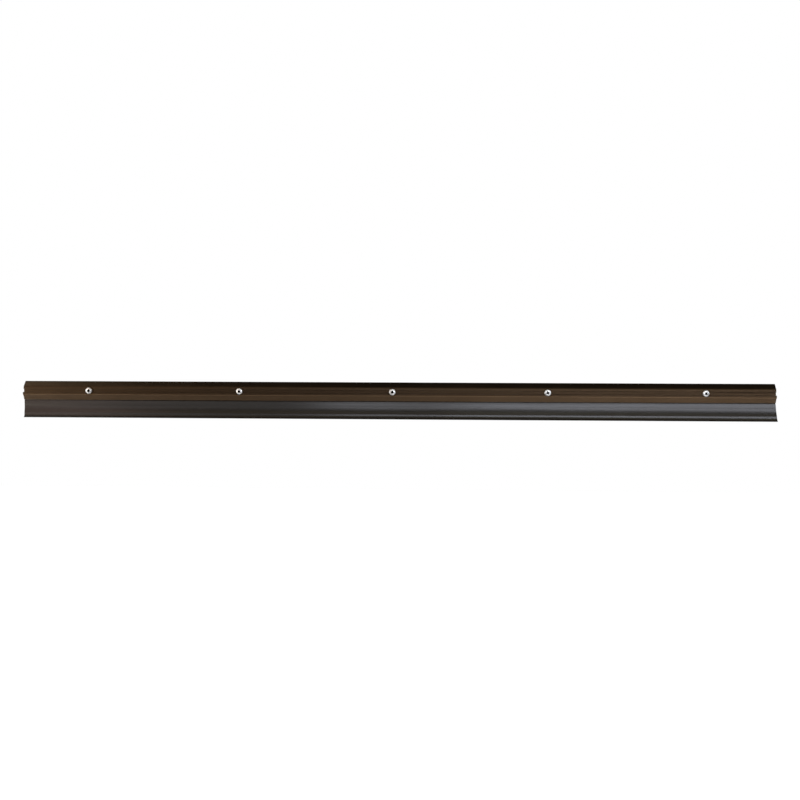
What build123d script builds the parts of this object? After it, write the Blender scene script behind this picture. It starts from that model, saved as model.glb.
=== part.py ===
from build123d import *
import os
from math import asin, degrees, hypot, sqrt

# Screw-on draught strip for the foot of a door: an extruded carrier, a soft sealing blade held in its
# pocket, and a row of screws. X runs along the strip, +Y points into the door and +Z up.
# The origin lies on the door's face, on the screw line, halfway along the strip.
# In the section, a depth is measured out from the door and a drop down from the strip's top edge.

# Strip, in millimetres
strip_length = 1000.0

# Screws: pan head, cross recess, plain shank through the carrier, thread from the door's face on
screw_count = 5
end_margin = 90.0
screw_length = 22.0
head_diameter = 8.8
head_height = 3.2
head_dome_radius = 11.0
head_edge_radius = 1.1
recess_width = 4.6
recess_slot = 1.3
recess_depth = 2.0
recess_taper = 8.0
thread_diameter = 4.8
thread_height = 0.5
point_length = 5.0
point_flat_diameter = 0.5
screw_turn = 37.0

# Carrier: open to the door behind its upper half, with a pocket for the blade in its lower half
wall = 1.5
top_land = 1.2
foot_height = 2.0
chamfer_drop = 7.3
channel_depth = 6.2
channel_width = 4.2
shoulder_rise = 1.2
shoulder_height = 3.5
shoulder_radius = 5.0
floor_radius = 0.2
ridge_rise = 3.6
ridge_flat = 2.7
ridge_radius = 0.6
flank_setback = 2.2
flank_drop = 2.8
lower_face_drop = 4.65
lower_face_setback = 1.7
lip_width = 1.8
hole_clearance = 0.2
head_gap = 0.2
edge_radius = 0.35

# Blade: its head fills the pocket; below the lip it is thick at the root, steps out and flares at the tip
neck_thickness = 1.6
tip_thickness = 1.8
blade_clearance = 0.15
end_lean = 1.5
head_corner_radius = 0.4
root_gap = 0.5
root_setback = 0.7
root_radius = 0.5
flat_drop = 10.6
flat_rise = 1.15
step_drop = 6.1
step_rise = 1.95
plateau_drop = 3.55
plateau_rise = 0.5
flare_drop = 3.1
flare_rise = 2.2
step_radius = 38.0
plateau_radius = 10.0
flare_radius = 6.0
tip_radius = 0.3

# Levels of the section that follow from these
shoulder_depth = channel_depth + shoulder_rise
floor_drop = chamfer_drop + shoulder_height
screw_drop = floor_drop + channel_width / 2
ledge_drop = floor_drop + channel_width
floor_back = channel_depth - wall
ridge_depth = channel_depth + ridge_rise
ridge_drop = ledge_drop + ridge_flat
flank_foot = ridge_drop + flank_drop
lower_face_depth = ridge_depth - flank_setback
lip_depth = lower_face_depth - lower_face_setback
lip_drop = flank_foot + lower_face_drop
mouth_front = lip_depth - lip_width
neck_front = mouth_front - blade_clearance
neck_back = neck_front - neck_thickness
mouth_back = neck_back - blade_clearance
cut_length = 4 * wall
trim_length = 4 * end_lean
neck_from = lip_drop - 2 * wall
root_drop = lip_drop + root_gap
root_depth = lip_depth - root_setback
step_from = root_drop + flat_drop
plateau_from = step_from + step_drop
flare_from = plateau_from + plateau_drop
strip_height = flare_from + flare_drop


def at(depth, drop):
    """A point of the section, in the plane across the strip."""
    return (-depth, screw_drop - drop)


def round_corners(section, radius, *points):
    """Round the corners of a section that lie at the given points."""
    corners = [section.vertices().sort_by_distance(point)[0] for point in points]
    return fillet(corners, radius)


def along_strip(section, length):
    """Extrude a section along the strip, to both sides of its middle."""
    return extrude(Plane.YZ * section, amount=length / 2, both=True)


def screw_places():
    """Positions of the screws along X, spaced evenly about the middle."""
    span = strip_length - 2 * end_margin
    return [span * (index / (screw_count - 1) - 0.5) for index in range(screw_count)]


def front_outline():
    """The carrier's section before it is hollowed, from the chamfer down to the lower face."""
    outline = make_face(
        Polyline(
            at(0, 0),
            at(top_land, 0),
            at(shoulder_depth, chamfer_drop),
            at(shoulder_depth, floor_drop),
            at(channel_depth, floor_drop),
            at(channel_depth, ledge_drop),
            at(ridge_depth, ledge_drop),
            at(ridge_depth, ridge_drop),
            at(lower_face_depth, flank_foot),
            at(lip_depth, lip_drop),
            at(0, lip_drop),
            close=True,
        )
    )
    outline = round_corners(outline, shoulder_radius, at(shoulder_depth, chamfer_drop))
    channel_corners = [at(channel_depth, floor_drop), at(channel_depth, ledge_drop)]
    outline = round_corners(outline, floor_radius, *channel_corners)
    ridge_corners = [at(ridge_depth, ledge_drop), at(ridge_depth, ridge_drop)]
    outline = round_corners(outline, ridge_radius, *ridge_corners)
    return round_corners(outline, edge_radius, at(top_land, 0), at(shoulder_depth, floor_drop))


def back_hollow():
    """The space behind the chamfer and the channel, open to the door between the foot and the rear leg."""
    chamfer_slope = (shoulder_depth - top_land) / chamfer_drop
    chamfer_wall = wall * hypot(1, chamfer_slope)
    return make_face(
        Polyline(
            at(0, foot_height),
            at(top_land + chamfer_slope * foot_height - chamfer_wall, foot_height),
            at(floor_back, (floor_back - top_land + chamfer_wall) / chamfer_slope),
            at(floor_back, ridge_drop),
            at(0, ridge_drop),
            close=True,
        )
    )


def pocket():
    """The hollow that holds the blade's head, one wall inside the lower half below the ridge."""
    lower_half = Polyline(
        at(0, ridge_drop),
        at(lower_face_depth, ridge_drop),
        at(lower_face_depth, flank_foot),
        at(lip_depth, lip_drop),
        at(0, lip_drop),
        close=True,
    )
    return offset(make_face(lower_half), -wall, kind=Kind.INTERSECTION)


def carrier():
    """Rigid extrusion with the screw channel above and the slotted pocket below, bored for the screws."""
    mouth_centre = at((mouth_front + mouth_back) / 2, lip_drop)
    mouth = Pos(*mouth_centre) * Rectangle(mouth_front - mouth_back, cut_length)
    section = front_outline() - back_hollow() - pocket() - mouth
    lip_edges = [at(lip_depth, lip_drop), at(mouth_front, lip_drop), at(mouth_back, lip_drop)]
    section = round_corners(section, edge_radius, *lip_edges)
    body = along_strip(section, strip_length)
    outwards = (Align.CENTER, Align.CENTER, Align.MIN)
    hole = Cylinder(thread_diameter / 2 + hole_clearance, cut_length)
    head_seat = Cylinder(head_diameter / 2 + head_gap, 2 * ridge_rise, align=outwards)
    for x in screw_places():
        body -= Pos(x, -channel_depth, 0) * Rot(90, 0, 0) * (hole + head_seat)
    return body


def blade_head():
    """The part of the blade that fills the pocket, with its neck down through the mouth."""
    core = offset(pocket(), -blade_clearance - head_corner_radius, kind=Kind.INTERSECTION)
    neck = Polyline(
        at(neck_back, neck_from),
        at(neck_front, neck_from),
        at(neck_front, root_drop),
        at(neck_back, root_drop),
        close=True,
    )
    return offset(core, head_corner_radius) + make_face(neck)


def free_blade():
    """The part below the lip: flat, stepped out, a short plateau and the flare, thinning to the tip."""
    drops = (root_drop, step_from, plateau_from, flare_from, strip_height)
    depths = [root_depth]
    for rise in (flat_rise, step_rise, plateau_rise, flare_rise):
        depths.append(depths[-1] + rise)
    root_thickness = root_depth - neck_back
    thinning = (root_thickness - tip_thickness) / (strip_height - root_drop)
    front_points = []
    back_points = []
    for depth, drop in zip(depths, drops):
        front_points.append(at(depth, drop))
        back_points.append(at(depth - root_thickness + thinning * (drop - root_drop), drop))
    radii = (step_radius, plateau_radius, flare_radius)
    front = FilletPolyline(*front_points, radius=radii)
    back = FilletPolyline(*back_points, radius=radii)
    return make_face(front + back + Line(front @ 0, back @ 0) + Line(front @ 1, back @ 1))


def sealing_blade():
    """Soft strip with its head in the pocket, both ends sliced off a little out of square."""
    section = blade_head() + free_blade()
    tip = section.vertices().sort_by(Axis.Y)[:2]
    section = fillet(tip, tip_radius)
    section = round_corners(section, root_radius, at(root_depth, root_drop))
    body = along_strip(section, strip_length + trim_length)
    lean = end_lean / (strip_height - lip_drop)
    for side, kept in ((-1, Keep.TOP), (1, Keep.BOTTOM)):
        lip_end = (side * strip_length / 2, 0, screw_drop - lip_drop)
        body = split(body, bisect_by=Plane(origin=lip_end, z_dir=(1, 0, lean)), keep=kept)
    return body


def screw_head():
    """Pan head with a domed crown, a rounded rim and a tapered cross recess, its underside at zero."""
    radius = head_diameter / 2
    rim = (radius, head_height - head_dome_radius + sqrt(head_dome_radius**2 - radius**2))
    crown_angle = degrees(asin(radius / head_dome_radius))
    crown = CenterArc((0, head_height - head_dome_radius), head_dome_radius, 90 - crown_angle, crown_angle)
    half = make_face(crown + Polyline((0, head_height), (0, 0), (radius, 0), rim))
    half = round_corners(half, head_edge_radius, rim)
    head = revolve(Plane.XZ * half, Axis.Z)
    cross = Rectangle(recess_width, recess_slot) + Rectangle(recess_slot, recess_width)
    return head - extrude(Pos(0, 0, head_height) * cross, amount=-recess_depth, taper=recess_taper)


def fixing_screw():
    """One screw along Z, head upwards, with its plain shank, the thread's envelope and its point."""
    down = (Align.CENTER, Align.CENTER, Align.MAX)
    shank = Cylinder(thread_diameter / 2 - thread_height, channel_depth, align=down)
    thread_length = screw_length - channel_depth - point_length
    thread = Pos(0, 0, -channel_depth) * Cylinder(thread_diameter / 2, thread_length, align=down)
    point = Cone(point_flat_diameter / 2, thread_diameter / 2, point_length, align=down)
    return screw_head() + shank + thread + Pos(0, 0, point_length - screw_length) * point


def fixing_screws():
    """The row of screws, each driven home and stopped at an angle of its own."""
    screw = fixing_screw()
    row = []
    for index, x in enumerate(screw_places()):
        row.append(Pos(x, -channel_depth, 0) * Rot(90, 0, 0) * Rot(0, 0, index * screw_turn) * screw)
    return Compound(children=row)


os.makedirs("parts", exist_ok=True)
export_step(carrier(), "parts/carrier.step")
export_step(sealing_blade(), "parts/sealing_blade.step")
export_step(fixing_screws(), "parts/fixing_screws.step")
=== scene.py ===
import math
import bmesh
import bpy
from mathutils import Matrix, Vector


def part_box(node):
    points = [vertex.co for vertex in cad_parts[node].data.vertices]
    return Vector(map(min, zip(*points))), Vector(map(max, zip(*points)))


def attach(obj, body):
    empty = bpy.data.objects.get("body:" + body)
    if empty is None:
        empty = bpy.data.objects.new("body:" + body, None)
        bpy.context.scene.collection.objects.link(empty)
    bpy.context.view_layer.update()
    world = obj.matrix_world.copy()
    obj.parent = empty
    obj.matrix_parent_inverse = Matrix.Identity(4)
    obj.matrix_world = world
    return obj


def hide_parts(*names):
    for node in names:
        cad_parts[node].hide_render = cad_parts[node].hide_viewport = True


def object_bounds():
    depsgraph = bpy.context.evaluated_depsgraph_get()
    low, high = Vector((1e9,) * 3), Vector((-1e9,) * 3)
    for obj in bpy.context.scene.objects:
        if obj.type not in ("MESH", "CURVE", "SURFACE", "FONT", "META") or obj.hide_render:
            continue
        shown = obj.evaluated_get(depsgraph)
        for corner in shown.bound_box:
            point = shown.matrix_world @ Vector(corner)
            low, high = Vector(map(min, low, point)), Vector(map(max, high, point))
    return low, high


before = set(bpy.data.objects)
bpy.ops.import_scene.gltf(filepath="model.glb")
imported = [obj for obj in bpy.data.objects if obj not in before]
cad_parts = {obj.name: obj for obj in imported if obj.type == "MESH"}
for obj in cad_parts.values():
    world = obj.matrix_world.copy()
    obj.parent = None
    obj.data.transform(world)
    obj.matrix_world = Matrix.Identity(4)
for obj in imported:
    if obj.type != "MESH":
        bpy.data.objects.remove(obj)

cad_low, cad_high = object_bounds()

# Carrier
# An aluminium section, pressed through a die in one length, anodised brown and sawn off. Its foot and
# its rear leg lie on the door, and the screws clamp the floor of the channel between them.
carrier_low, carrier_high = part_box("carrier")
wall = 0.0015
top_land = 0.0012
foot_height = 0.0020
chamfer_drop = 0.0073
channel_depth = 0.0062
channel_width = 0.0042
shoulder_rise = 0.0012
shoulder_height = 0.0035
ridge_flat = 0.0027
flank_setback = 0.0022
flank_drop = 0.0028
lower_setback = 0.0017
lip_width = 0.0018
mouth_width = 0.0019
edge_radius = 0.00035
shoulder_radius = 0.0050
channel_radius = 0.0002
ridge_top_radius = 0.0004
ridge_foot_radius = 0.0006
lip_drop = carrier_high.z - carrier_low.z
ridge_depth = -carrier_low.y
shoulder_depth = channel_depth + shoulder_rise
floor_drop = chamfer_drop + shoulder_height
ledge_drop = floor_drop + channel_width
ridge_drop = ledge_drop + ridge_flat
flank_foot = ridge_drop + flank_drop
lower_depth = ridge_depth - flank_setback
lip_depth = lower_depth - lower_setback
mouth_front = lip_depth - lip_width
mouth_back = mouth_front - mouth_width
floor_back = channel_depth - wall
chamfer_slope = (shoulder_depth - top_land) / chamfer_drop
chamfer_wall = wall * math.hypot(1, chamfer_slope)
corner_reach = 5e-6
merge_reach = 1e-6


def at(depth, drop):
    """A point of the cross-section: depth out from the door, drop down from the strip's top edge."""
    return Vector((0, -depth, carrier_high.z - drop))


def pick(kind, test):
    """In edit mode, selects just the vertices or edges that pass the test."""
    bpy.ops.mesh.select_mode(type=kind)
    bpy.ops.mesh.select_all(action="DESELECT")
    mesh = bmesh.from_edit_mesh(bpy.context.object.data)
    for item in {"VERT": mesh.verts, "EDGE": mesh.edges}[kind]:
        if test(item):
            item.select_set(True)
    bmesh.update_edit_mesh(bpy.context.object.data)


def along(corner):
    """A test for edges that run along the strip through a corner of its section."""
    def near(vertex):
        return math.hypot(vertex.co.y - corner.y, vertex.co.z - corner.z) < corner_reach
    return lambda edge: all(near(vertex) for vertex in edge.verts)


def draw_tube(name, outline, low_x, high_x):
    """Starts a piece as one flat panel, brings its two long edges to the first side of the outline, pulls
    the next panel out of the last edge for each further side, and closes the tube.
    The piece stays in edit mode."""
    half_panel = Vector((0, 0.5, 0))
    bpy.ops.object.select_all(action="DESELECT")
    bpy.ops.mesh.primitive_plane_add(size=1)
    bpy.context.object.name = name
    bpy.ops.object.mode_set(mode="EDIT")
    bpy.ops.transform.resize(value=(high_x - low_x, 1, 1))
    bpy.ops.transform.translate(value=((high_x + low_x) / 2, 0, 0))
    pick("VERT", lambda vertex: vertex.co.y > 0)
    bpy.ops.transform.translate(value=outline[0] - half_panel)
    pick("VERT", lambda vertex: vertex.co.y < -half_panel.y / 2)
    bpy.ops.transform.translate(value=outline[1] + half_panel)
    pick("EDGE", along(outline[1]))
    for start, end in zip(outline[1:], outline[2:] + outline[:1]):
        bpy.ops.mesh.extrude_edges_move(TRANSFORM_OT_translate={"value": end - start})
    bpy.ops.mesh.select_all(action="SELECT")
    bpy.ops.mesh.remove_doubles(threshold=merge_reach)
    return bpy.context.object


def round_over(outline, corner, radius, segments):
    """In edit mode, rounds the long edge at one corner of an outline to a radius."""
    index = outline.index(corner)
    turn = (corner - outline[index - 1]).angle(outline[(index + 1) % len(outline)] - corner)
    pick("EDGE", along(corner))
    bpy.ops.mesh.bevel(offset=radius * math.tan(turn / 2), segments=segments, profile=0.5)


def inside_lower_half(gap):
    """Corners a gap inside the carrier's lower half, from the floor at the front round to the back."""
    slope = lower_setback / (lip_drop - flank_foot)
    slanted_gap = gap * math.hypot(1, slope)
    bend_drop = flank_foot - (slanted_gap - gap) / slope
    toe_depth = lower_depth - slanted_gap - slope * (lip_drop - gap - flank_foot)
    return [
        at(toe_depth, lip_drop - gap),
        at(lower_depth - gap, bend_drop),
        at(lower_depth - gap, ridge_drop + gap),
        at(gap, ridge_drop + gap),
        at(gap, lip_drop - gap),
    ]


top_corner = at(top_land, 0)
shoulder = at(shoulder_depth, chamfer_drop)
channel_rim = at(shoulder_depth, floor_drop)
channel_top = at(channel_depth, floor_drop)
channel_foot = at(channel_depth, ledge_drop)
ridge_top = at(ridge_depth, ledge_drop)
ridge_foot = at(ridge_depth, ridge_drop)
lip = at(lip_depth, lip_drop)
front_hook = at(mouth_front, lip_drop)
back_hook = at(mouth_back, lip_drop)
carrier_outline = [
    at(0, 0),
    top_corner,
    shoulder,
    channel_rim,
    channel_top,
    channel_foot,
    ridge_top,
    ridge_foot,
    at(lower_depth, flank_foot),
    lip,
    front_hook,
    at(mouth_front, lip_drop - wall),
    *inside_lower_half(wall),
    at(mouth_back, lip_drop - wall),
    back_hook,
    at(0, lip_drop),
    at(0, ridge_drop),
    at(floor_back, ridge_drop),
    at(floor_back, (floor_back - top_land + chamfer_wall) / chamfer_slope),
    at(top_land + chamfer_slope * foot_height - chamfer_wall, foot_height),
    at(0, foot_height),
]
carrier = draw_tube("carrier_extrusion", carrier_outline, carrier_low.x, carrier_high.x)
for corner, radius, segments in (
    (top_corner, edge_radius, 5),
    (shoulder, shoulder_radius, 12),
    (channel_rim, edge_radius, 5),
    (channel_top, channel_radius, 4),
    (channel_foot, channel_radius, 4),
    (ridge_top, ridge_top_radius, 6),
    (ridge_foot, ridge_foot_radius, 6),
    (lip, edge_radius, 5),
    (front_hook, edge_radius, 5),
    (back_hook, edge_radius, 5),
):
    round_over(carrier_outline, corner, radius, segments)
for end in (carrier_low.x, carrier_high.x):
    pick("EDGE", lambda edge: all(abs(vertex.co.x - end) < merge_reach for vertex in edge.verts))
    bpy.ops.mesh.edge_face_add()
bpy.ops.mesh.select_all(action="SELECT")
bpy.ops.mesh.normals_make_consistent(inside=False)
bpy.ops.object.mode_set(mode="OBJECT")


def combine(piece, tool, operation):
    """Cuts a tool's shape out of a piece, or joins it on, and puts the tool away."""
    change = piece.modifiers.new("combine", "BOOLEAN")
    change.object = tool
    change.operation = operation
    change.solver = "EXACT"
    bpy.context.view_layer.objects.active = piece
    bpy.ops.object.modifier_apply(modifier=change.name)
    bpy.data.objects.remove(tool)


# Five holes go through the floor of the channel, a little wider than the thread. Round seats are bored
# into the shoulder and the ridge, down to that floor, for the screws' heads.
hole_radius = 0.0026
seat_radius = 0.0046
bore_facets = 64
end_margin = 0.090
screw_count = 5
screw_pitch = (carrier_high.x - carrier_low.x - 2 * end_margin) / (screw_count - 1)
screw_places = [screw_pitch * (index - (screw_count - 1) / 2) for index in range(screw_count)]
for x in screw_places:
    for radius, inner_depth, outer_depth in (
        (hole_radius, floor_back - wall, channel_depth + wall),
        (seat_radius, channel_depth, ridge_depth + wall),
    ):
        bpy.ops.object.select_all(action="DESELECT")
        bpy.ops.mesh.primitive_cylinder_add(
            vertices=bore_facets,
            radius=radius,
            depth=outer_depth - inner_depth,
            location=(x, -(inner_depth + outer_depth) / 2, 0),
            rotation=(math.pi / 2, 0, 0),
        )
        combine(carrier, bpy.context.object, "DIFFERENCE")


def smooth(piece):
    """Shades a piece smooth, except across edges that turn more than the angle of a crease."""
    crease_angle = math.radians(35)
    bpy.ops.object.select_all(action="DESELECT")
    piece.select_set(True)
    bpy.context.view_layer.objects.active = piece
    bpy.ops.object.shade_smooth_by_angle(angle=crease_angle)


smooth(carrier)


def linear(colour):
    """An sRGB hex colour as the linear colour that a shader takes."""
    parts = [int(colour[i : i + 2], 16) / 255 for i in (1, 3, 5)]
    return [*(c / 12.92 if c <= 0.04045 else ((c + 0.055) / 1.055) ** 2.4 for c in parts), 1.0]


def add_node(tree, kind, sockets, **settings):
    """Adds a node, sets its properties, and gives each named input its value or its link."""
    node = tree.nodes.new(kind)
    for name, value in settings.items():
        setattr(node, name, value)
    for name, value in sockets.items():
        if isinstance(value, bpy.types.NodeSocket):
            tree.links.new(value, node.inputs[name])
        else:
            node.inputs[name].default_value = value
    return node


def start_material(name, shader_sockets):
    """Starts a material and returns it with its tree, its shader and the coordinates of the piece."""
    material = bpy.data.materials.new(name)
    material.use_nodes = True
    tree = material.node_tree
    shader = tree.nodes["Principled BSDF"]
    for socket, value in shader_sockets.items():
        shader.inputs[socket].default_value = value
    coordinates = add_node(tree, "ShaderNodeTexCoord", {}).outputs
    return material, tree, shader, coordinates


# Brown anodised aluminium: a dark bronze skin over the metal, satin and a little cloudy from the pickling
# bath, with fine lines along the length from the die, drawn 1.5 mm apart, coarser than real, so that they
# show. A paler bronze is painted along the ridge's lower edge, which stands out farthest, as a painted
# highlight. The ends were sawn after anodising, so there the bare metal shows, with the marks of the saw.
dark_bronze = linear("#403226")
pale_bronze = linear("#45382a")
# The paler bronze of the painted highlight along the ridge's lower edge.
ridge_highlight_bronze = linear("#574635")
dark_sawn_metal = linear("#7d746b")
pale_sawn_metal = linear("#a39a90")
satin_low = 0.40
satin_high = 0.48
sawn_roughness = 0.55
die_line_length = 0.35
die_line_spacing = 0.0015
clouding_size = 0.06
saw_mark_spacing = 0.0008
relief_height = 0.00005
noise_low = 0.3
noise_high = 0.7
brown_anodised, tree, shader, coordinates = start_material("brown_anodised_aluminium", {"Metallic": 1.0})
stretch = add_node(
    tree,
    "ShaderNodeMapping",
    {
        "Vector": coordinates["Object"],
        "Scale": (1 / die_line_length, 1 / die_line_spacing, 1 / die_line_spacing),
    },
)
die_lines = add_node(
    tree,
    "ShaderNodeTexNoise",
    {"Vector": stretch.outputs[0], "Scale": 1.0, "Detail": 3.0},
)
clouding = add_node(
    tree,
    "ShaderNodeTexNoise",
    {"Vector": coordinates["Object"], "Scale": 1 / clouding_size, "Detail": 4.0},
)
bronze = add_node(
    tree,
    "ShaderNodeMix",
    {"Factor": die_lines.outputs["Fac"], "A": dark_bronze, "B": pale_bronze},
    data_type="RGBA",
)
satin = add_node(
    tree,
    "ShaderNodeMapRange",
    {
        "Value": clouding.outputs["Fac"],
        "From Min": noise_low,
        "From Max": noise_high,
        "To Min": satin_low,
        "To Max": satin_high,
    },
)

# The painted highlight starts a little behind the ridge's face and above its lower corner, and is full
# close to both.
highlight_begins_behind = 0.0008
highlight_full_behind = 0.0003
highlight_begins_above = 0.0005
highlight_full_above = 0.0002
on_carrier = add_node(tree, "ShaderNodeSeparateXYZ", {"Vector": coordinates["Object"]})
proud = add_node(
    tree,
    "ShaderNodeMapRange",
    {
        "Value": on_carrier.outputs["Y"],
        "From Min": highlight_begins_behind - ridge_depth,
        "From Max": highlight_full_behind - ridge_depth,
    },
)
under_ridge = add_node(
    tree,
    "ShaderNodeMapRange",
    {
        "Value": on_carrier.outputs["Z"],
        "From Min": ridge_foot.z + highlight_begins_above,
        "From Max": ridge_foot.z + highlight_full_above,
    },
)
painted_highlight = add_node(
    tree,
    "ShaderNodeMath",
    {0: proud.outputs["Result"], 1: under_ridge.outputs["Result"]},
    operation="MULTIPLY",
)
# The paler bronze is mixed in along the ridge's lower edge as a painted highlight.
highlighted_skin = add_node(
    tree,
    "ShaderNodeMix",
    {"Factor": painted_highlight.outputs[0], "A": bronze.outputs["Result"], "B": ridge_highlight_bronze},
    data_type="RGBA",
)

# A face is sawn where it lies at an end of the strip and looks along it.
end_depth = 0.0001
square_on = 0.9
facing = add_node(tree, "ShaderNodeSeparateXYZ", {"Vector": coordinates["Normal"]})
endwise = add_node(tree, "ShaderNodeMath", {0: facing.outputs["X"]}, operation="ABSOLUTE")
from_middle = add_node(tree, "ShaderNodeMath", {0: on_carrier.outputs["X"]}, operation="ABSOLUTE")
at_end = add_node(
    tree,
    "ShaderNodeMath",
    {0: from_middle.outputs[0], 1: carrier_high.x - end_depth},
    operation="GREATER_THAN",
)
flat_on = add_node(
    tree,
    "ShaderNodeMath",
    {0: endwise.outputs[0], 1: square_on},
    operation="GREATER_THAN",
)
sawn = add_node(
    tree,
    "ShaderNodeMath",
    {0: at_end.outputs[0], 1: flat_on.outputs[0]},
    operation="MULTIPLY",
)
saw_marks = add_node(
    tree,
    "ShaderNodeTexNoise",
    {"Vector": coordinates["Object"], "Scale": 1 / saw_mark_spacing, "Detail": 2.0, "Distortion": 0.6},
)
bare_metal = add_node(
    tree,
    "ShaderNodeMix",
    {"Factor": saw_marks.outputs["Fac"], "A": dark_sawn_metal, "B": pale_sawn_metal},
    data_type="RGBA",
)
skin = add_node(
    tree,
    "ShaderNodeMix",
    {"Factor": sawn.outputs[0], "A": highlighted_skin.outputs["Result"], "B": bare_metal.outputs["Result"]},
    data_type="RGBA",
)
dullness = add_node(
    tree,
    "ShaderNodeMix",
    {"Factor": sawn.outputs[0], "A": satin.outputs["Result"], "B": sawn_roughness},
)
lines_and_marks = add_node(
    tree,
    "ShaderNodeMix",
    {"Factor": sawn.outputs[0], "A": die_lines.outputs["Fac"], "B": saw_marks.outputs["Fac"]},
)
relief = add_node(
    tree,
    "ShaderNodeBump",
    {"Height": lines_and_marks.outputs["Result"], "Strength": 0.06, "Distance": relief_height},
)
tree.links.new(skin.outputs["Result"], shader.inputs["Base Color"])
tree.links.new(dullness.outputs["Result"], shader.inputs["Roughness"])
tree.links.new(relief.outputs["Normal"], shader.inputs["Normal"])
carrier.data.materials.append(brown_anodised)
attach(carrier, "root")
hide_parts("carrier")

# Sealing blade
# A soft, dark extrusion whose head is slid into the carrier's pocket from one end and cut off with a
# knife, a little out of square. Below the lip it runs flat, steps out, and flares at the floor.
blade_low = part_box("sealing_blade")[0]
clearance = 0.00015
neck_thickness = 0.0016
tip_thickness = 0.0018
root_gap = 0.0005
root_setback = 0.0007
root_radius = 0.0005
flat_drop = 0.0106
flat_rise = 0.00115
step_drop = 0.0061
step_rise = 0.00195
step_radius = 0.038
plateau_drop = 0.00355
plateau_rise = 0.0005
plateau_radius = 0.010
flare_rise = 0.0022
flare_radius = 0.006
tip_radius = 0.0003
head_corner_radius = 0.0004
end_lean = 0.0015
root_drop = lip_drop + root_gap
step_from = root_drop + flat_drop
plateau_from = step_from + step_drop
flare_from = plateau_from + plateau_drop
tip_drop = carrier_high.z - blade_low.z
neck_front = mouth_front - clearance
neck_back = neck_front - neck_thickness
front_depth = lip_depth - root_setback
root_thickness = front_depth - neck_back
front_line = [at(front_depth, root_drop)]
back_line = [at(neck_back, root_drop)]
for rise, drop in (
    (flat_rise, step_from),
    (step_rise, plateau_from),
    (plateau_rise, flare_from),
    (flare_rise, tip_drop),
):
    front_depth += rise
    thinned = (drop - root_drop) / (tip_drop - root_drop)
    thickness = root_thickness + (tip_thickness - root_thickness) * thinned
    front_line.append(at(front_depth, drop))
    back_line.append(at(front_depth - thickness, drop))
head_floor = lip_drop - wall - clearance
head_corners = inside_lower_half(wall + clearance)
blade_outline = [
    *head_corners[::-1],
    at(neck_front, head_floor),
    at(neck_front, root_drop),
    *front_line,
    *back_line[::-1],
    at(neck_back, head_floor),
]
blade = draw_tube(
    "sealing_blade_profile",
    blade_outline,
    carrier_low.x - 2 * end_lean,
    carrier_high.x + 2 * end_lean,
)
for line in (front_line, back_line):
    for corner, radius in zip(line[1:4], (step_radius, plateau_radius, flare_radius)):
        round_over(blade_outline, corner, radius, 10)
    round_over(blade_outline, line[4], tip_radius, 4)
round_over(blade_outline, front_line[0], root_radius, 5)
for corner in head_corners:
    round_over(blade_outline, corner, head_corner_radius, 4)

# The length is divided into short stretches, and each end is sliced off along a plane that leans.
stations = 100
pick("EDGE", lambda edge: abs(edge.verts[0].co.x - edge.verts[1].co.x) > merge_reach)
bpy.ops.mesh.subdivide(number_cuts=stations)
lean = end_lean / (tip_drop - lip_drop)
for end, side in ((carrier_low.x, -1), (carrier_high.x, 1)):
    bpy.ops.mesh.select_all(action="SELECT")
    bpy.ops.mesh.bisect(
        plane_co=(end, 0, carrier_low.z),
        plane_no=(side, 0, side * lean),
        use_fill=True,
        clear_outer=True,
    )
bpy.ops.mesh.select_all(action="SELECT")
bpy.ops.mesh.normals_make_consistent(inside=False)
bpy.ops.object.mode_set(mode="OBJECT")

# The free edge sways by a fraction of a millimetre, as soft strip does that was coiled for storage.
sway_depth = 0.0004
sway_length = 0.09
free_edge = blade.vertex_groups.new(name="free_edge")
for vertex in blade.data.vertices:
    hang = (carrier_high.z - vertex.co.z - root_drop) / (tip_drop - root_drop)
    free_edge.add([vertex.index], min(1.0, max(0.0, hang)), "REPLACE")
waves = bpy.data.textures.new("blade_sway", "CLOUDS")
waves.noise_scale = sway_length
waves.noise_depth = 1
sway = blade.modifiers.new("sway", "DISPLACE")
sway.texture = waves
sway.texture_coords = "LOCAL"
sway.direction = "Y"
sway.mid_level = 0.0
sway.strength = sway_depth
sway.vertex_group = free_edge.name
bpy.context.view_layer.objects.active = blade
bpy.ops.object.modifier_apply(modifier=sway.name)
blade.vertex_groups.clear()
smooth(blade)

# Soft PVC rubber: near black with a little brown in it, smoother than the carrier, so it throws a
# clearer reflection, broken by faint draw lines along the length. The lines are drawn 2.2 mm apart,
# coarser than real, so that they show.
dark_rubber = linear("#1d1916")
pale_rubber = linear("#25211d")
gloss_low = 0.19
gloss_high = 0.26
draw_line_length = 0.25
draw_line_spacing = 0.0022
black_rubber, tree, shader, coordinates = start_material(
    "soft_black_rubber",
    {"IOR": 1.46, "Specular IOR Level": 0.44},
)
stretch = add_node(
    tree,
    "ShaderNodeMapping",
    {
        "Vector": coordinates["Object"],
        "Scale": (1 / draw_line_length, 1 / draw_line_spacing, 1 / draw_line_spacing),
    },
)
draw_lines = add_node(
    tree,
    "ShaderNodeTexNoise",
    {"Vector": stretch.outputs[0], "Scale": 1.0, "Detail": 3.0},
)
rubber = add_node(
    tree,
    "ShaderNodeMix",
    {"Factor": draw_lines.outputs["Fac"], "A": dark_rubber, "B": pale_rubber},
    data_type="RGBA",
)
gloss = add_node(
    tree,
    "ShaderNodeMapRange",
    {
        "Value": draw_lines.outputs["Fac"],
        "From Min": noise_low,
        "From Max": noise_high,
        "To Min": gloss_low,
        "To Max": gloss_high,
    },
)
relief = add_node(
    tree,
    "ShaderNodeBump",
    {"Height": draw_lines.outputs["Fac"], "Strength": 0.3, "Distance": relief_height},
)
tree.links.new(rubber.outputs["Result"], shader.inputs["Base Color"])
tree.links.new(gloss.outputs["Result"], shader.inputs["Roughness"])
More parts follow.
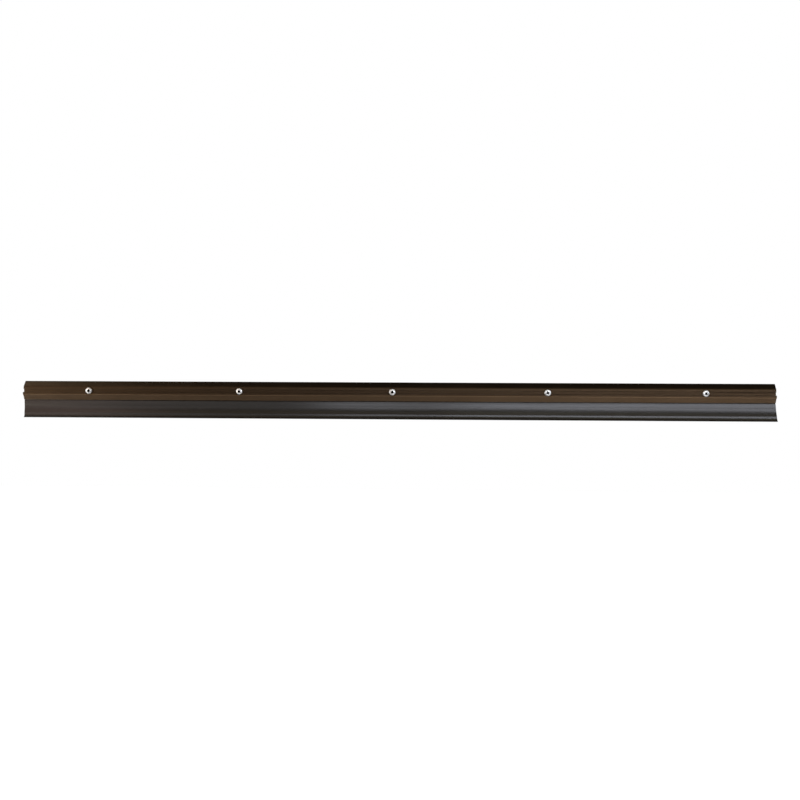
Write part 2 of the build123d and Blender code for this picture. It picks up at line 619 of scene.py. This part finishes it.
tree.links.new(relief.outputs["Normal"], shader.inputs["Normal"])
blade.data.materials.append(black_rubber)
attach(blade, "root")
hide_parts("sealing_blade")

# Fixing screws
# Steel wood screws with a pan head and a cross recess, cold-headed, thread-rolled and bright plated.
# Each clamps the channel's floor with its head and holds the door's wood with its thread.
screw_low, screw_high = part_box("fixing_screws")
head_radius = screw_high.z
head_crown = screw_low.y
dome_radius = 0.011
rim_round = 0.0011
shank_radius = 0.0019
crest_radius = 0.0024
point_length = 0.0050
dome_steps = 8
rim_steps = 6
turn_steps = 64

# Half of the screw's outline is drawn from the crown over the rim to the shank's end, and spun round.
dome_edge = head_radius - rim_round
dome_sag = dome_radius - math.sqrt(dome_radius**2 - dome_edge**2)
rim_centre = head_crown + dome_sag + rim_round
half_profile = []
for step in range(dome_steps + 1):
    radius = dome_edge * step / dome_steps
    sag = dome_radius - math.sqrt(dome_radius**2 - radius**2)
    half_profile.append(Vector((radius, head_crown + sag, 0)))
for step in range(1, rim_steps + 1):
    angle = math.pi / 2 * step / rim_steps
    rim_radius = dome_edge + rim_round * math.sin(angle)
    half_profile.append(Vector((rim_radius, rim_centre - rim_round * math.cos(angle), 0)))
half_profile += [
    Vector((head_radius, -channel_depth, 0)),
    Vector((shank_radius, -channel_depth, 0)),
    Vector((shank_radius, screw_high.y - point_length, 0)),
    Vector((shank_radius, screw_high.y, 0)),
    Vector((0, screw_high.y, 0)),
]


def start_profile(name, path):
    """Starts a piece as a plane cut down to one corner, and draws a line from there along a path.
    The piece stays in edit mode."""
    plane_corner = Vector((0.5, 0.5, 0))
    bpy.ops.object.select_all(action="DESELECT")
    bpy.ops.mesh.primitive_plane_add(size=1)
    bpy.context.object.name = name
    bpy.ops.object.mode_set(mode="EDIT")
    pick("VERT", lambda vertex: vertex.co.x < 0 or vertex.co.y < 0)
    bpy.ops.mesh.delete(type="VERT")
    pick("VERT", lambda vertex: True)
    bpy.ops.transform.translate(value=path[0] - plane_corner)
    for start, end in zip(path, path[1:]):
        bpy.ops.mesh.extrude_vertices_move(TRANSFORM_OT_translate={"value": end - start})
    return bpy.context.object


screw = start_profile("plated_screw", half_profile)
bpy.ops.mesh.select_all(action="SELECT")
bpy.ops.mesh.spin(steps=turn_steps, angle=2 * math.pi, center=(0, 0, 0), axis=(0, 1, 0))
bpy.ops.mesh.select_all(action="SELECT")
bpy.ops.mesh.remove_doubles(threshold=merge_reach)
bpy.ops.mesh.normals_make_consistent(inside=False)
bpy.ops.object.mode_set(mode="OBJECT")

# The recess is two tapered slots across each other and a cone between them. The tools that cut it start
# a little above the crown.
recess_width = 0.0046
recess_slot = 0.0013
recess_depth = 0.0020
recess_taper = math.radians(8)
cone_radius = 0.0023
cone_tip_radius = recess_slot / 4
cone_facets = 32
above_crown = 0.0005
cut_depth = recess_depth + above_crown
cut_middle = head_crown + (recess_depth - above_crown) / 2
narrowing = 2 * cut_depth * math.tan(recess_taper)
for width, height in ((recess_width, recess_slot), (recess_slot, recess_width)):
    bpy.ops.object.select_all(action="DESELECT")
    bpy.ops.mesh.primitive_cube_add(size=1)
    bpy.ops.object.mode_set(mode="EDIT")
    bpy.ops.transform.resize(value=(width, cut_depth, height))
    pick("VERT", lambda vertex: vertex.co.y > 0)
    bpy.ops.transform.resize(value=((width - narrowing) / width, 1, (height - narrowing) / height))
    bpy.ops.mesh.select_all(action="SELECT")
    bpy.ops.transform.translate(value=(0, cut_middle, 0))
    bpy.ops.object.mode_set(mode="OBJECT")
    combine(screw, bpy.context.object, "DIFFERENCE")
bpy.ops.object.select_all(action="DESELECT")
bpy.ops.mesh.primitive_cone_add(
    vertices=cone_facets,
    radius1=cone_radius,
    radius2=cone_tip_radius,
    depth=cut_depth,
    location=(0, cut_middle, 0),
    rotation=(-math.pi / 2, 0, 0),
)
combine(screw, bpy.context.object, "DIFFERENCE")

# The thread is a sharp ridge wound on the shank from the door's face to the tip.
thread_pitch = 0.0018
thread_from = 0.0006
ridge_half_width = 0.00035
sunk = 0.0001
thread_steps = 32
thread_turns = int((screw_high.y - 2 * thread_from) / thread_pitch)
ridge_profile = [
    Vector((shank_radius - sunk, thread_from - ridge_half_width, 0)),
    Vector((crest_radius, thread_from, 0)),
    Vector((shank_radius - sunk, thread_from + ridge_half_width, 0)),
]
thread = start_profile("thread", ridge_profile)
bpy.ops.mesh.select_all(action="SELECT")
bpy.ops.mesh.edge_face_add()
bpy.ops.mesh.delete(type="ONLY_FACE")
bpy.ops.object.mode_set(mode="OBJECT")
winding = thread.modifiers.new("winding", "SCREW")
winding.axis = "Y"
winding.screw_offset = thread_pitch
winding.iterations = thread_turns
winding.steps = thread_steps
winding.render_steps = thread_steps
bpy.ops.object.modifier_apply(modifier=winding.name)
bpy.ops.object.mode_set(mode="EDIT")
bpy.ops.mesh.select_mode(type="VERT")
bpy.ops.mesh.select_all(action="DESELECT")
bpy.ops.mesh.select_non_manifold()
bpy.ops.mesh.merge(type="COLLAPSE")
bpy.ops.mesh.select_all(action="SELECT")
bpy.ops.mesh.normals_make_consistent(inside=False)
bpy.ops.object.mode_set(mode="OBJECT")
combine(screw, thread, "UNION")

# The last stretch is squeezed to a point, shank and thread together, down to a share of its width.
tip_share = 0.12
for vertex in screw.data.vertices:
    squeeze = min(1.0, max(tip_share, (screw_high.y - vertex.co.y) / point_length))
    vertex.co.x *= squeeze
    vertex.co.z *= squeeze
smooth(screw)

# Bright plated steel: a thin zinc coat over cold-headed wire, pale and softly shining, with the rings
# that the heading die left, drawn 0.3 mm apart so that they show. The recess is painted near black
# inside, as painted shade.
dark_zinc = linear("#e8e8e8")
pale_zinc = linear("#f4f4f4")
# Near black, for the painted shade inside the recess.
painted_recess_shade = linear("#12100e")
polish_low = 0.35
polish_high = 0.45
ring_spacing = 0.0003
plated_steel, tree, shader, coordinates = start_material("bright_plated_steel", {"Metallic": 1.0})
on_row = add_node(tree, "ShaderNodeSeparateXYZ", {"Vector": coordinates["Object"]})
from_screw = add_node(
    tree,
    "ShaderNodeMath",
    {0: on_row.outputs["X"], 1: screw_pitch / 2, 2: -screw_pitch / 2},
    operation="WRAP",
)
on_head = add_node(
    tree,
    "ShaderNodeCombineXYZ",
    {"X": from_screw.outputs[0], "Y": on_row.outputs["Z"], "Z": 0.0},
)
from_axis = add_node(tree, "ShaderNodeVectorMath", {0: on_head.outputs[0]}, operation="LENGTH")
ring_place = add_node(
    tree,
    "ShaderNodeCombineXYZ",
    {"X": from_axis.outputs["Value"], "Y": on_row.outputs["Y"], "Z": 0.0},
)
rings = add_node(
    tree,
    "ShaderNodeTexNoise",
    {"Vector": ring_place.outputs[0], "Scale": 1 / ring_spacing, "Detail": 2.0},
)
zinc = add_node(
    tree,
    "ShaderNodeMix",
    {"Factor": rings.outputs["Fac"], "A": dark_zinc, "B": pale_zinc},
    data_type="RGBA",
)
polish = add_node(
    tree,
    "ShaderNodeMapRange",
    {
        "Value": rings.outputs["Fac"],
        "From Min": noise_low,
        "From Max": noise_high,
        "To Min": polish_low,
        "To Max": polish_high,
    },
)

# The painted shade of the recess begins just below the crown and keeps to the middle of the head.
dark_from = 0.00025
dark_full = 0.0003
below_crown = add_node(
    tree,
    "ShaderNodeMapRange",
    {
        "Value": on_row.outputs["Y"],
        "From Min": head_crown + dark_from,
        "From Max": head_crown + dark_full,
    },
)
near_axis = add_node(
    tree,
    "ShaderNodeMath",
    {0: from_axis.outputs["Value"], 1: recess_width / 2},
    operation="LESS_THAN",
)
in_head = add_node(
    tree,
    "ShaderNodeMath",
    {0: on_row.outputs["Y"], 1: -channel_depth},
    operation="LESS_THAN",
)
in_middle = add_node(
    tree,
    "ShaderNodeMath",
    {0: near_axis.outputs[0], 1: in_head.outputs[0]},
    operation="MULTIPLY",
)
in_recess = add_node(
    tree,
    "ShaderNodeMath",
    {0: below_crown.outputs["Result"], 1: in_middle.outputs[0]},
    operation="MULTIPLY",
)
# The zinc gives way to the painted shade inside the recess.
plating_and_shade = add_node(
    tree,
    "ShaderNodeMix",
    {"Factor": in_recess.outputs[0], "A": zinc.outputs["Result"], "B": painted_recess_shade},
    data_type="RGBA",
)
tree.links.new(plating_and_shade.outputs["Result"], shader.inputs["Base Color"])
tree.links.new(polish.outputs["Result"], shader.inputs["Roughness"])
screw.data.materials.append(plated_steel)

# The one screw is copied to each of the five holes, and each copy stops at an angle of its own.
screw_turn = math.radians(37)
for index, x in enumerate(screw_places):
    driven = screw.copy()
    driven.data = screw.data.copy()
    driven.name = f"plated_screw_{index + 1}"
    bpy.context.scene.collection.objects.link(driven)
    driven.data.transform(Matrix.Translation((x, 0, 0)) @ Matrix.Rotation(-index * screw_turn, 4, "Y"))
    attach(driven, "root")
    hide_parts("fixing_screws")
bpy.data.objects.remove(screw)

# Floor
# A plain white sheet of card under the strip, well below it, so that its soft shadow stays faint. It
# glows just enough to look white to the camera, and less in the strip's reflections.
floor_gap = 0.30
floor_front = -0.7
floor_rear = 1.5
floor_width = 3.2
floor_colour = linear("#e8e8e8")
floor_glow = 0.93
floor_mirrored_glow = 0.45
bpy.ops.object.select_all(action="DESELECT")
bpy.ops.mesh.primitive_plane_add(size=1)
bpy.ops.object.mode_set(mode="EDIT")
bpy.ops.transform.resize(value=(floor_width, floor_rear - floor_front, 1))
bpy.ops.transform.translate(value=(0, (floor_rear + floor_front) / 2, cad_low.z - floor_gap))
bpy.ops.object.mode_set(mode="OBJECT")
floor = bpy.context.object
floor.name = "floor"
white_card, tree, shader, _ = start_material(
    "white_card",
    {
        "Base Color": floor_colour,
        "Roughness": 0.9,
        "Specular IOR Level": 0.0,
        "Emission Color": (1, 1, 1, 1),
    },
)
rays = add_node(tree, "ShaderNodeLightPath", {}).outputs
shown = add_node(
    tree,
    "ShaderNodeMath",
    {0: rays["Is Camera Ray"], 1: rays["Is Transmission Ray"]},
    operation="MAXIMUM",
)
mirrored = add_node(
    tree,
    "ShaderNodeMath",
    {0: rays["Is Glossy Ray"], 1: floor_mirrored_glow},
    operation="MULTIPLY",
)
glow = add_node(
    tree,
    "ShaderNodeMath",
    {0: shown.outputs[0], 1: floor_glow, 2: mirrored.outputs[0]},
    operation="MULTIPLY_ADD",
)
tree.links.new(glow.outputs[0], shader.inputs["Emission Strength"])
floor.data.materials.append(white_card)

# Background
# White to the camera and through clear things, and a dim grey room as a light. Reflections see the white
# only behind the strip, on rays that point well into the door.
room_grey = linear("#323232")
white_from = 0.3
white_full = 0.6
world = bpy.data.worlds.new("white_studio")
bpy.context.scene.world = world
world.use_nodes = True
tree = world.node_tree
background = tree.nodes["Background"]
rays = add_node(tree, "ShaderNodeLightPath", {}).outputs
direction = add_node(tree, "ShaderNodeTexCoord", {}).outputs["Generated"]
into_door = add_node(tree, "ShaderNodeSeparateXYZ", {"Vector": direction}).outputs["Y"]
behind = add_node(
    tree,
    "ShaderNodeMapRange",
    {"Value": into_door, "From Min": white_from, "From Max": white_full},
)
mirrored = add_node(
    tree,
    "ShaderNodeMath",
    {0: rays["Is Glossy Ray"], 1: behind.outputs["Result"]},
    operation="MULTIPLY",
)
shown = add_node(
    tree,
    "ShaderNodeMath",
    {0: rays["Is Camera Ray"], 1: rays["Is Transmission Ray"]},
    operation="MAXIMUM",
)
white = add_node(
    tree,
    "ShaderNodeMath",
    {0: shown.outputs[0], 1: mirrored.outputs[0]},
    operation="MAXIMUM",
)
room = add_node(
    tree,
    "ShaderNodeMix",
    {"Factor": white.outputs[0], "A": room_grey, "B": (1, 1, 1, 1)},
    data_type="RGBA",
)
tree.links.new(room.outputs["Result"], background.inputs["Color"])

# Lamps
# Soft studio panels, each with its place, the point it faces, its width and height, its watts and its
# colour. Those in front are mirrored in the bands of the strip, and the floor washes face down.
for name, lamp_place, lamp_aim, lamp_size, watts, colour in (
    ("key_softbox", (0.60, -1.0, 0.22), (0.35, 0, 0), (1.15, 0.17), 4.2, "#f0f4ff"),
    ("key_softbox_middle", (-0.12, -1.0, 0.22), (-0.05, 0, 0), (0.25, 0.17), 0.59, "#f4f7ff"),
    ("key_softbox_left", (-0.60, -1.0, 0.24), (-0.30, 0, 0), (0.60, 0.17), 0.34, "#ffffff"),
    ("level_strip_right", (0.65, -1.0, -0.03), (0.40, 0, 0), (0.90, 0.10), 0.59, "#ffffff"),
    ("floor_wash_right", (0.48, -0.20, -0.06), (0.48, -0.20, -1), (0.80, 0.26), 2.7, "#ffffff"),
    ("floor_wash_left", (-0.78, -0.20, -0.06), (-0.78, -0.20, -1), (0.25, 0.26), 1.7, "#ffffff"),
    ("upper_strip_right", (0.60, -0.8, 0.62), (0.30, 0, 0), (1.20, 0.40), 1.1, "#fffad8"),
    ("upper_strip_left", (-0.50, -0.8, 0.62), (-0.30, 0, 0), (1.00, 0.40), 0.59, "#ffeec0"),
    ("left_panel", (-1.10, -1.0, -0.02), (-0.45, 0, 0), (0.35, 0.35), 1.75, "#fff4e0"),
    ("left_softbox", (-1.4, -1.8, 0.85), (-0.45, 0, 0), (0.60, 1.20), 3.2, "#ffd9cc"),
    ("left_wing", (-1.5, -0.55, 0.15), (-0.41, 0, 0), (0.50, 0.60), 4.5, "#ffffff"),
    ("left_end_overhead", (-1.15, -0.25, 1.0), (-0.48, 0, 0), (0.40, 0.50), 2.2, "#fffdf2"),
    ("back_softbox", (0.3, 2.2, 1.0), (0, 0, 0), (1.60, 1.00), 17.0, "#ffffff"),
):
    lamp_data = bpy.data.lights.new(name, "AREA")
    lamp_data.shape = "RECTANGLE"
    lamp_data.size, lamp_data.size_y = lamp_size
    lamp_data.energy = watts
    lamp_data.color = linear(colour)[:3]
    lamp = bpy.data.objects.new(name, lamp_data)
    lamp.location = lamp_place
    lamp.rotation_euler = (Vector(lamp_aim) - Vector(lamp_place)).to_track_quat("-Z", "Y").to_euler()
    bpy.context.scene.collection.objects.link(lamp)

# Camera
# It stands about level with the strip, a little over a metre away and slightly to the right of its
# middle, and is rolled by a fraction of a degree.
view_azimuth = math.radians(2.81)
view_elevation = math.radians(2.0)
view_distance = 1.1955
view_roll = math.radians(0.198)
view_target = Vector((0.01022, -0.006, -0.01036))
sensor_millimetres = 36.0
lens_millimetres = 40.5
backwards = Vector(
    (
        math.sin(view_azimuth) * math.cos(view_elevation),
        -math.cos(view_azimuth) * math.cos(view_elevation),
        math.sin(view_elevation),
    )
)
camera_data = bpy.data.cameras.new("camera")
camera_data.sensor_width = sensor_millimetres
camera_data.lens = lens_millimetres
camera = bpy.data.objects.new("camera", camera_data)
camera.location = view_target + backwards * view_distance
level_view = (-backwards).to_track_quat("-Z", "Y").to_matrix()
camera.rotation_euler = (level_view @ Matrix.Rotation(view_roll, 3, "Z")).to_euler()
bpy.context.scene.collection.objects.link(camera)
bpy.context.scene.camera = camera
bpy.context.scene.view_settings.view_transform = "Standard"
